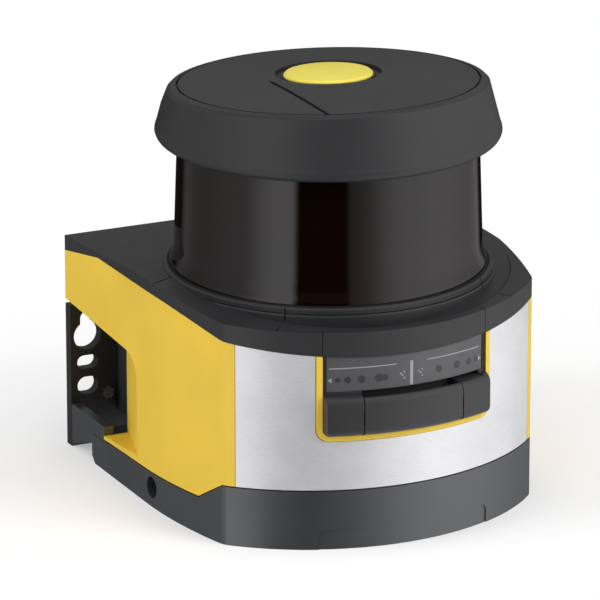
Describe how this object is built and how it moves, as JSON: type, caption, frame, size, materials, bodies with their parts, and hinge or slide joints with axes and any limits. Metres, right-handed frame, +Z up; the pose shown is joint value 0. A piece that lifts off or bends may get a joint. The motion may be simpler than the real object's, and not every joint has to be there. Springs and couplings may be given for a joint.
{
  "type": "safety laser scanner",
  "caption": "Safety laser scanner with a rotating mirror behind a dark round window, a tilted cap, a curved front with an indicator strip and flap, and an L-shaped mounting unit.",
  "frame": {"origin": "where the scanning axis meets the plane that the scanner stands on", "axes": "+Z up along the scanning axis, -Y out of the front, +X to the right when the front faces away from +Y"},
  "size_m": [0.133, 0.1498, 0.1528],
  "materials": {
    "yellow_housing": "fine-grained moulded yellow",
    "dark_unit": "dark grey powder coat",
    "silver_panel": "satin silver",
    "dark_cover": "fine-grained charcoal",
    "black_bezel": "satin black",
    "strip_lens": "smoked, printed symbols",
    "window": "polished, infrared filter, near black",
    "seal": "matte",
    "yellow_disc": "satin",
    "steel": "bright zinc",
    "cast_metal": "as cast",
    "circuit_board": "solder resist",
    "components": "moulded epoxy",
    "nickel": "nickel plated",
    "lens_glass": "coated",
    "mirror_glass": "first surface",
    "windings": "enamelled copper on steel",
    "lamp": "diffuse"
  },
  "bodies": {
    "root": {"connection_unit": "dark_unit", "connector_sockets": "nickel", "connection_board": "circuit_board", "link_plug": "components", "earth_screws": "steel", "unit_screws": "steel", "housing": "yellow_housing", "link_seal": "seal", "front_panel": "silver_panel", "top_cover": "dark_cover", "fascia_insert": "dark_cover", "display_bezel": "black_bezel", "indicator_lens": "strip_lens", "indicator_board": "circuit_board", "indicator_lamps": "lamp", "service_socket": "steel", "flap_pin": "steel", "chassis": "cast_metal", "chassis_screws": "steel", "receiver_lens": "lens_glass", "emitter_module": "components", "detector_board": "circuit_board", "main_board": "circuit_board", "board_chips": "components", "board_spacers": "nickel", "wiring_column": "components", "window_seal": "seal", "window": "window", "cap_base": "cast_metal", "cap": "dark_cover", "cap_disc": "yellow_disc", "motor_stator": "windings", "rotor_bearings": "steel", "side_flanges": "dark_unit", "rear_plate": "dark_unit", "wiring_box": "dark_unit"},
    "rotor": {"rotor_shaft": "steel", "rotor_magnet": "cast_metal", "encoder_disc": "lens_glass", "mirror_carrier": "components", "scan_mirror": "mirror_glass"},
    "flap": {"front_flap": "black_bezel"}
  },
  "joints": [
    {"name": "rotor_spin", "type": "hinge", "parent": "root", "child": "rotor", "pos_m": [0, 0, 0.104], "axis": [0, 0, 1], "continuous": true},
    {"name": "flap_hinge", "type": "hinge", "parent": "root", "child": "flap", "pos_m": [0, -0.0665, 0.0452], "axis": [1, 0, 0], "range_deg": [0, 90]}
  ]
}
